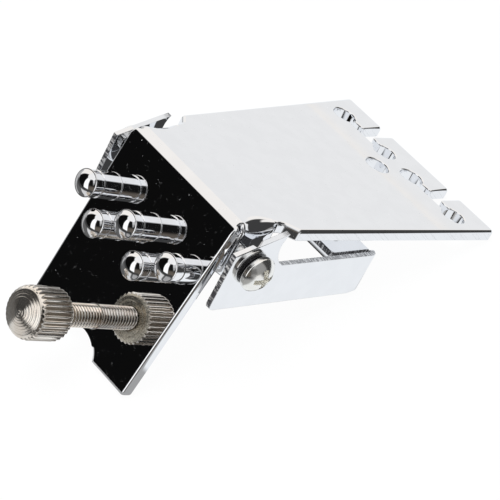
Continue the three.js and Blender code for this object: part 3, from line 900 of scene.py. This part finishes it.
# %% Trees
class Tree:
    """The node tree of a material or the world."""

    def __init__(self, owner):
        owner.use_nodes = True
        self.tree = owner.node_tree
        self.tree.nodes.clear()

    def node(self, kind, settings=None, sockets=(), outlet=0):
        """Makes a node; sockets are values or wires in order, or by name in a dict."""
        made = self.tree.nodes.new(kind)
        for key, value in (settings or {}).items():
            setattr(made, key, value)
        pairs = sockets.items() if isinstance(sockets, dict) else enumerate(sockets)
        for key, value in pairs:
            if isinstance(value, Wire):
                self.tree.links.new(value.socket, made.inputs[key])
            else:
                made.inputs[key].default_value = value
        return Wire(self, made.outputs[outlet]) if made.outputs else made

    def mix(self, share, first, second):
        """A blend of two colours, which sit on the node's sockets 6 and 7."""
        sockets = {0: share, 6: first, 7: second}
        return self.node("ShaderNodeMix", {"data_type": "RGBA"}, sockets, 2)

    def noise(self, vector, scale, detail):
        sockets = {"Vector": vector, "Scale": scale, "Detail": detail}
        return self.node("ShaderNodeTexNoise", None, sockets)

    def vector(self, operation, *sockets, outlet="Vector"):
        return self.node("ShaderNodeVectorMath", {"operation": operation}, sockets, outlet)

    def stored(self, name):
        """A vector that is stored on the piece's points."""
        return self.node("ShaderNodeAttribute", {"attribute_name": name}, outlet="Vector")

    def parts(self, vector):
        """A vector's three numbers as wires."""
        made = self.node("ShaderNodeSeparateXYZ", None, (vector,)).socket.node
        return [Wire(self, socket) for socket in made.outputs]

    def from_axis(self, own):
        """The distance from the piece's turning axis, in millimetres."""
        flat = self.vector("MULTIPLY", own, (1, 1, 0))
        return self.vector("LENGTH", flat, outlet="Value")


def colour(red, green, blue):
    return (red, green, blue, 1.0)


# %% [markdown]
# ## Plated metal
# Chrome and nickel are mirrors, so their look comes from the studio. What is left to the
# material is small: a faint tint, fine wipe marks in the gloss, dust, a slight wave of the
# surface, and wear, with painted shade and painted light on some pieces. These are a mask that
# a function gives, so that one recipe serves the sheets, the posts, the screws and the knob.

# %% The recipe of a plated metal
DUST_SMALL, DUST_LARGE = 0.02, 0.05
DUST_COLOUR, DUST_MATT = colour(0.75, 0.76, 0.78), 0.3


def plated(name, light, shade, gloss, smudge, dust, wave, wear_and_shade=None):
    """A plated metal; the last argument gives wear and painted light: mask, colour, roughness,
    relief, dullness.
    """
    material = bpy.data.materials.new(name)
    tree = Tree(material)
    own = tree.stored("own_mm")
    patches = tree.noise(own, scale=0.35, detail=4.0)
    wipes = tree.noise(own, scale=3.0, detail=6.0)
    cells = tree.node("ShaderNodeTexVoronoi", None, {"Vector": own, "Scale": 0.9}, "Distance")
    speck = (1 - cells.step(DUST_SMALL, DUST_LARGE)) * dust
    base = tree.mix(speck, tree.mix(patches.step(0.35, 0.65), light, shade), DUST_COLOUR)
    roughness = gloss + wipes.step(0.5, 0.8) * smudge + speck * DUST_MATT
    height = tree.noise(own, scale=0.5, detail=1.0) * wave
    if wear_and_shade:
        mask, mark_colour, matt, relief, dull = wear_and_shade(tree, own)
        base = tree.mix(mask, base, mark_colour)
        roughness = roughness + mask * matt
        height = height + relief
        speck = speck.maths("MAXIMUM", mask * dull)
    bump = tree.node("ShaderNodeBump", None, {"Strength": 1.0, "Distance": MM, "Height": height})
    shader = tree.node("ShaderNodeBsdfPrincipled", None, {
        "Base Color": base, "Metallic": 1 - speck, "Roughness": roughness, "Normal": bump,
    })
    tree.node("ShaderNodeOutputMaterial", None, (shader,))
    print("material", name, "has", len(tree.tree.nodes), "nodes")
    return material


# %% [markdown]
# ## Wear and painted shade of the sheets
# The plate is polished and then handled, so it has hair scratches, and its long edges keep
# faint slanted marks of the shear. The bracket's edges were never polished: the shear's
# streaks run straight across them, dark on the ends and paler on the arms, and their dark is
# partly painted shade for a dark reflection. Both masks find the edges by the stored outward
# direction, so that no texture has to be painted.

# %% Scratches on the plate
SCRATCH_GREY, SHEAR_GREY = colour(0.55, 0.55, 0.56), colour(0.30, 0.30, 0.31)
HAIR_WIDTH, MARK_SLANT = 0.004, 1.6


def scratched(tree, own):
    """Hair scratches that scatter a little light, and slanted shear marks on the long edges."""
    drift = tree.noise(own, scale=0.55, detail=2.0)
    spread = tree.noise(own, scale=0.9, detail=5.0)
    line = 1 - abs(drift - 0.5).step(0.0, HAIR_WIDTH)
    mark = line * spread.step(0.55, 0.65) * 0.5
    _, out_v, out_w = tree.parts(tree.stored("out"))
    u, _, w = tree.parts(own)
    edge = (1 - abs(out_w).step(0.1, 0.4)) * abs(out_v).step(0.8, 0.95) * u.step(12, 14)
    slant = tree.node(
        "ShaderNodeTexNoise", {"noise_dimensions": "1D"},
        {"W": u + w * MARK_SLANT, "Scale": 1.6, "Detail": 3.0},
    )
    shear = edge * slant.step(0.5, 0.7) * 0.13
    mark_colour = tree.mix(edge, SCRATCH_GREY, SHEAR_GREY)
    return mark.maths("MAXIMUM", shear), mark_colour, 0.3, mark * 0.002 + shear * 0.02, 0.4


# %% Sheared edges of the bracket, with painted shade
SHEAR_DARK_AND_SHADE, STREAK_PALE = colour(0.10, 0.10, 0.11), colour(0.86, 0.86, 0.86)
ARM_SHARE, STREAK_STRETCH = 0.75, (1, 1, 0.25)


def sheared_and_shaded(tree, own):
    """Shear streaks across the edges, their dark partly painted shade: dark on the ends, paler on
    the arms.
    """
    out_u, out_v, out_w = tree.parts(tree.stored("out"))
    u, v, _ = tree.parts(own)
    upward = out_v.step(0.6, 0.9)
    ends = abs(out_u).step(0.6, 0.9).maths("MAXIMUM", v.step(8.6, 9.2) * upward)
    arms = abs(u).step(14.9, 15.6) * (1 - v.step(0.9, 1.3)) * upward
    edge = (1 - abs(out_w).step(0.5, 0.95)) * ends.maths("MAXIMUM", arms * ARM_SHARE)
    streaks = tree.noise(tree.vector("MULTIPLY", own, STREAK_STRETCH), scale=3.2, detail=3.0)
    # the dark of the streaks is partly painted shade, standing for a dark reflection in the edges
    mark_colour = tree.mix(streaks.step(0.46, 0.62), SHEAR_DARK_AND_SHADE, STREAK_PALE)
    return edge, mark_colour, 0.28, edge * streaks * 0.06, 0.3


# %% [markdown]
# ## Wear and painted light of the screws
# The thumb screw is warm nickel that grime has settled in: dark valleys between bright crests
# and tan valleys between the teeth, both deepened with painted shade, and a brown bloom below.
# The knob's face keeps fine turning marks, which draw out its highlight. On the pivot screws
# the cross is painted pale, for a driver's wear and as a painted highlight on its walls, and
# a painted shadow makes a dark line where the shoulder meets the cheek.

# %% Grime and painted shade in the thread
BLOOM_BROWN, GRIME_AND_SHADE = colour(0.42, 0.29, 0.19), colour(0.07, 0.052, 0.04)
VALLEY_FLOOR, VALLEY_RIM = 1.68, 1.86


def thread_grime_and_shade(tree, own):
    """Dark valleys of grime and painted shade between bright crests, and a brown bloom on the lower
    side.
    """
    x, y, _ = tree.parts(own)
    # the valleys are darkened by grime and by painted shade
    valley = 1 - tree.from_axis(own).step(VALLEY_FLOOR, VALLEY_RIM)
    patches = tree.noise(own, scale=0.6, detail=4.0).step(0.35, 0.6)
    bloom = (x * -0.5 + y * 0.4).step(0.1, 0.9) * patches * 0.75
    mark_colour = tree.mix(valley, BLOOM_BROWN, GRIME_AND_SHADE)
    return valley.maths("MAXIMUM", bloom), mark_colour, 0.2, valley * 0.004, 0.0


# %% Wear and painted shade of the knob
TOOTH_GRIME_AND_SHADE, REAR_TAN = colour(0.26, 0.21, 0.16), colour(0.40, 0.36, 0.27)
GROOVE_FLOOR, GROOVE_RIM = 4.0, 4.2


def knob_wear_and_shade(tree, own):
    """Tan valleys of the knurl from grime and painted shade, turning marks on the face and a dull
    rear.
    """
    radius, height = tree.from_axis(own), tree.parts(own)[2]
    side_start = height.step(KNOB_BASE + 0.5, KNOB_BASE + 0.8)
    side_end = height.step(knob_top - 1.1, knob_top - 0.6)
    # the knurl's valleys are tan from grime and from painted shade
    valley = (1 - radius.step(GROOVE_FLOOR, GROOVE_RIM)) * side_start * (1 - side_end)
    on_face = height.step(knob_top - 0.3, knob_top - 0.1)
    rear = (1 - height.step(KNOB_BASE + 0.3, KNOB_BASE + 0.55)) * 0.8
    rings = (radius * 14.0).maths("SINE") * 0.007 + (radius * 37.0).maths("SINE") * 0.003
    wear_and_shade = valley.maths("MAXIMUM", rear).maths("MAXIMUM", on_face * 0.1)
    mark_colour = tree.mix(rear.step(0.1, 0.7), TOOTH_GRIME_AND_SHADE, REAR_TAN)
    return wear_and_shade, mark_colour, on_face * 0.4 + 0.2, rings * on_face, 0.3


# %% Wear, painted shadow and painted highlight of the pivot screws
GAP_SHADOW, RECESS_WEAR_AND_HIGHLIGHT = colour(0.015, 0.015, 0.017), colour(0.95, 0.93, 0.86)
GAP_START, GAP_FULL = 15.0, 16.3


def screw_wear_and_light(tree, own):
    """Painted shadow where the screw meets the cheek; a recess painted pale as wear and painted
    highlight.
    """
    radius, height = tree.from_axis(own), tree.parts(own)[2]
    # painted shadow: a dark line on the shoulder, up to the head
    line = height.step(GAP_START, GAP_FULL) * (1 - height.step(HEAD_BASE - 0.02, HEAD_BASE + 0.03))
    crown_height = HEAD_HEIGHT - HEAD_RIM
    sphere = (HEAD_RADIUS ** 2 + crown_height ** 2) / (2 * crown_height)
    crown = (sphere ** 2 - radius * radius).maths("SQRT") + (HEAD_TOP - sphere)
    within = (1 - radius.step(2.5, 2.8)) * height.step(17.0, 17.2)
    # the recess is painted pale, for the driver's wear and as a painted highlight on its walls
    recess = (crown - height).step(0.04, 0.2) * within
    mark_colour = tree.mix(recess, GAP_SHADOW, RECESS_WEAR_AND_HIGHLIGHT)
    return line.maths("MAXIMUM", recess * 0.85), mark_colour, 0.25, 0.0, 0.7


# %% Make the metals
CHROME_LIGHT, CHROME_SHADE = colour(0.90, 0.91, 0.93), colour(0.88, 0.89, 0.91)
chrome = plated(
    "bright_chrome", CHROME_LIGHT, CHROME_SHADE,
    gloss=0.02, smudge=0.02, dust=0.8, wave=0.0006, wear_and_shade=scratched,
)
cut_chrome = plated(
    "bracket_chrome", CHROME_LIGHT, CHROME_SHADE,
    gloss=0.02, smudge=0.02, dust=0.3, wave=0.0004, wear_and_shade=sheared_and_shaded,
)
post_chrome = plated(
    "post_chrome", colour(0.92, 0.93, 0.95), colour(0.88, 0.88, 0.89),
    gloss=0.03, smudge=0.03, dust=0.0, wave=0.002,
)
screw_chrome = plated(
    "screw_chrome", colour(0.94, 0.94, 0.92), colour(0.88, 0.87, 0.83),
    gloss=0.17, smudge=0.08, dust=0.0, wave=0.004, wear_and_shade=screw_wear_and_light,
)
thread_nickel = plated(
    "thread_nickel", colour(1.0, 0.95, 0.88), colour(0.92, 0.82, 0.72),
    gloss=0.06, smudge=0.06, dust=0.0, wave=0.004, wear_and_shade=thread_grime_and_shade,
)
nickel = plated(
    "knob_nickel", colour(0.97, 0.93, 0.87), colour(0.88, 0.81, 0.73),
    gloss=0.11, smudge=0.08, dust=0.0, wave=0.004, wear_and_shade=knob_wear_and_shade,
)

# %% Give each piece its metal
pivot_parts = [piece for pair in pivot_pieces.values() for piece in pair]
for pieces, material in (
    ([plate], chrome), ([bracket], cut_chrome), ([rod], thread_nickel), ([knob], nickel),
    (posts, post_chrome), (pivot_parts, screw_chrome),
):
    for piece in pieces:
        piece.data.materials.clear()
        piece.data.materials.append(material)
    print(material.name, "on", len(pieces), "pieces")

# %% [markdown]
# ## The studio
# A mirror shows the room, so the room is built with care: a white tent all round, a cream
# wall ahead for the top to mirror, a dim side on the right, and black flags at the rear that
# make the wing dark, with one bright strip between them for the edges. Lamps
# and cards could stand in the scene, but a mask over the world's directions is quicker to
# place, and has no shadow or noise. What the camera sees directly is plain white.

# %% Masks over directions
world = bpy.data.worlds.new("studio")
bpy.context.scene.world = world
sky = Tree(world)
dx, dy, dz = sky.parts(sky.node("ShaderNodeTexCoord", outlet="Generated"))
up = dz.maths("ARCSINE") * math.degrees(1)
SLANT_FROM = 5.0  # the height, in degrees, at which a slanted edge keeps its place


def wedge(x, y, left, right, soft, shift=0.0):
    """A mask between two directions in degrees of turn from +X; shift moves the left one."""
    middle, half = math.radians((left + right) / 2), (right - left) / 2
    ahead = x * math.cos(middle) + y * math.sin(middle)
    aside = y * math.cos(middle) - x * math.sin(middle)
    off = aside.maths("ARCTAN2", ahead) * math.degrees(1)
    return (off + half - shift).step(-soft / 2, soft / 2) * (half - off).step(-soft / 2, soft / 2)


def panel(left, right, low, high, soft=5, low_soft=6, high_soft=5, slant=0.0):
    """A mask over directions, between two turns and two heights in degrees."""
    inside = wedge(dx, dy, left, right, soft, (up - SLANT_FROM) * slant)
    rising = up.step(low - low_soft / 2, low + low_soft / 2)
    return inside * rising * (1 - up.step(high - high_soft / 2, high + high_soft / 2))


def grey(level, tint=(1, 1, 1)):
    return colour(*(level * share for share in tint))


# %% The tent
CREAM, BROWN = (1.0, 0.965, 0.925), (1.0, 0.86, 0.72)
panels = (
    # the tent's wall, all round
    (panel(-185, 185, -90, 62), grey(0.88)),
    # the lit wall ahead, which the top mirrors
    (panel(-55, 100, 5, 64, low_soft=4), grey(0.98, CREAM)),
    # the dim side on the right, with paler and darker cards in it
    (panel(-160, -50, -90, 50), grey(0.30)),
    (panel(-128, -95, 30, 50), grey(0.38)),
    (panel(-128, -95, 50, 65), grey(0.58)),
    (panel(-124, -95, 8, 33), grey(0.165)),
    # two dark cards ahead on the right
    (panel(-50, 12, -10, 22), grey(0.05)),
    (panel(-50, -8, 16, 44), grey(0.05)),
    # the black flag at the rear left, the bright strip beside it and the flag behind
    (panel(100, 200, -10, 61, soft=8), grey(0.004)),
    (panel(175, 206, 3, 63, soft=4, low_soft=4, slant=-0.45), grey(1.1)),
    (panel(206, 238, -6, 69, high_soft=6, slant=-0.2), grey(0.008)),
    # a warm glow at that flag's foot
    (panel(206, 236, -6, 25, high_soft=18), grey(0.12, BROWN)),
)
tent = grey(0.95)
for mask, paint in panels:
    tent = sky.mix(mask, tent, paint)
studio = sky.node("ShaderNodeBackground", None, {"Color": tent, "Strength": 1.0})
plain = sky.node("ShaderNodeBackground", None, {"Color": colour(1, 1, 1), "Strength": 1.0})
seen = sky.node("ShaderNodeLightPath", outlet="Is Camera Ray")
room = sky.node("ShaderNodeMixShader", None, (seen, studio, plain))
sky.node("ShaderNodeOutputWorld", None, (room,))
print("the tent has", len(panels), "panels")

# %% [markdown]
# ## The floor
# The tailpiece lies on white paper. To the camera the paper is almost plain white with a
# trace of shadow. In the chrome it has shades of its own, laid out in zones round the object,
# because a plain white floor would fill the undersides and the posts with one flat tone.

# %% The paper's zones in the chrome
FLOOR_RADIUS, FLOOR_DROP = 2.0, 0.0002
ZONE_X = 0.022  # the zones fan out from this far behind the origin
DARK = grey(0.05)

paper = bpy.data.materials.new("white_paper")
tree = Tree(paper)
place = tree.node("ShaderNodeTexCoord", outlet="Object")
east, north, _ = tree.parts(place)
away = tree.vector("LENGTH", place, outlet="Value")
mirrored_paper = tree.mix(away.step(0.07, 0.13), colour(0.90, 0.92, 0.94), grey(0.88))
mirrored_paper = tree.mix(away.step(0.6, 1.8), mirrored_paper, grey(0.93, CREAM))
fan = ((70, 108, 0.45), (108, 155, 0.12), (155, 195, 0.70), (195, 207, 0.13), (207, 262, 0.38))
for left, right, level in fan:
    zone = wedge(east + ZONE_X, north, left, right, 5)
    mirrored_paper = tree.mix(zone, mirrored_paper, grey(level))
# beneath the object the paper mirrors dark as a painted shadow; on its right and behind it, it
# mirrors dark too
between = east.step(-0.016, -0.008) * (1 - east.step(0.017, 0.021))
shadow_beneath = (1 - abs(north).step(0.013, 0.018)) * between
beside = wedge(east, north, -80, 5, 15) * (1 - north.step(-0.052, -0.042))
behind = wedge(east, north, 115, 245, 20) * away.step(0.08, 0.14)
for zone in (shadow_beneath, beside, behind):
    mirrored_paper = tree.mix(zone, mirrored_paper, DARK)
print("the paper has", len(fan) + 3, "zones")

# %% The paper's shader and the floor
PAPER_GLOW = 0.97

diffuse = tree.node("ShaderNodeBsdfDiffuse", None, {"Color": colour(0.9, 0.92, 0.95)})
glow = tree.node("ShaderNodeEmission", None, {"Color": colour(1, 1, 1), "Strength": 1.0})
mirrored_glow = tree.node("ShaderNodeEmission", None, {"Color": mirrored_paper, "Strength": 1.0})
to_camera = tree.node("ShaderNodeLightPath", outlet="Is Camera Ray")
to_mirror = tree.node("ShaderNodeLightPath", outlet="Is Glossy Ray")
seen_paper = tree.node("ShaderNodeMixShader", None, (to_camera * PAPER_GLOW, diffuse, glow))
blend = tree.node("ShaderNodeMixShader", None, (to_mirror, seen_paper, mirrored_glow))
tree.node("ShaderNodeOutputMaterial", None, (blend,))

bm = bmesh.new()
bmesh.ops.create_circle(bm, cap_ends=True, segments=96, radius=FLOOR_RADIUS)
floor = into_scene("floor", mesh_of(bm, "floor"))
floor.location.z = -FLOOR_DROP
floor.data.materials.append(paper)
print("the floor is", 2 * FLOOR_RADIUS, "m across")

# %% [markdown]
# ## The lamp
# The world lights the object already. One soft lamp overhead adds the faint shadow on the
# paper, and it is hidden from the chrome, where its disc would show as a spot.

# %% Lamp
LAMP_SIZE, LAMP_POWER, LAMP_PLACE = 0.5, 6.0, (-0.1, 0.1, 0.7)

lamp = bpy.data.lights.new("overhead", "AREA")
lamp.shape, lamp.size, lamp.energy = "DISK", LAMP_SIZE, LAMP_POWER
overhead = into_scene("overhead", lamp)
overhead.location = LAMP_PLACE
overhead.rotation_euler = Vector((0, 0, 1)).rotation_difference(overhead.location).to_euler()
overhead.visible_glossy = False
print("the lamp hangs", LAMP_PLACE[2], "m up")

# %% [markdown]
# ## The camera
# The photograph was taken through a long lens from the rear right and above. The camera's
# place and turn were solved from the straight edges in it, so they are exact numbers and not
# a position found by eye.

# %% Camera
SENSOR, FOCAL_LENGTH = 36.0, 151.23
CAMERA_PLACE = Vector((-158.934, -178.076, 265.544)) * MM
CAMERA_RIGHT = Vector((0.79017, -0.60764, 0.08001)).normalized()
CAMERA_BACK = Vector((-0.45752, -0.49796, 0.73669)).normalized()

lens = bpy.data.cameras.new("camera")
lens.sensor_width, lens.lens = SENSOR, FOCAL_LENGTH
lens.clip_start, lens.clip_end = 0.01, 10
camera = into_scene("camera", lens)
bpy.context.scene.camera = camera
turn = Matrix((CAMERA_RIGHT, CAMERA_BACK.cross(CAMERA_RIGHT), CAMERA_BACK)).transposed()
camera.matrix_world = Matrix.Translation(CAMERA_PLACE) @ turn.to_4x4()
print("the camera stands", round(CAMERA_PLACE.length, 3), "m away")

# %% [markdown]
# ## Finish
# The Standard view shows a colour about as it is written. The visual model has to stay
# inside the imported one.

# %% Colour and finish
bpy.context.scene.view_settings.view_transform = "Standard"
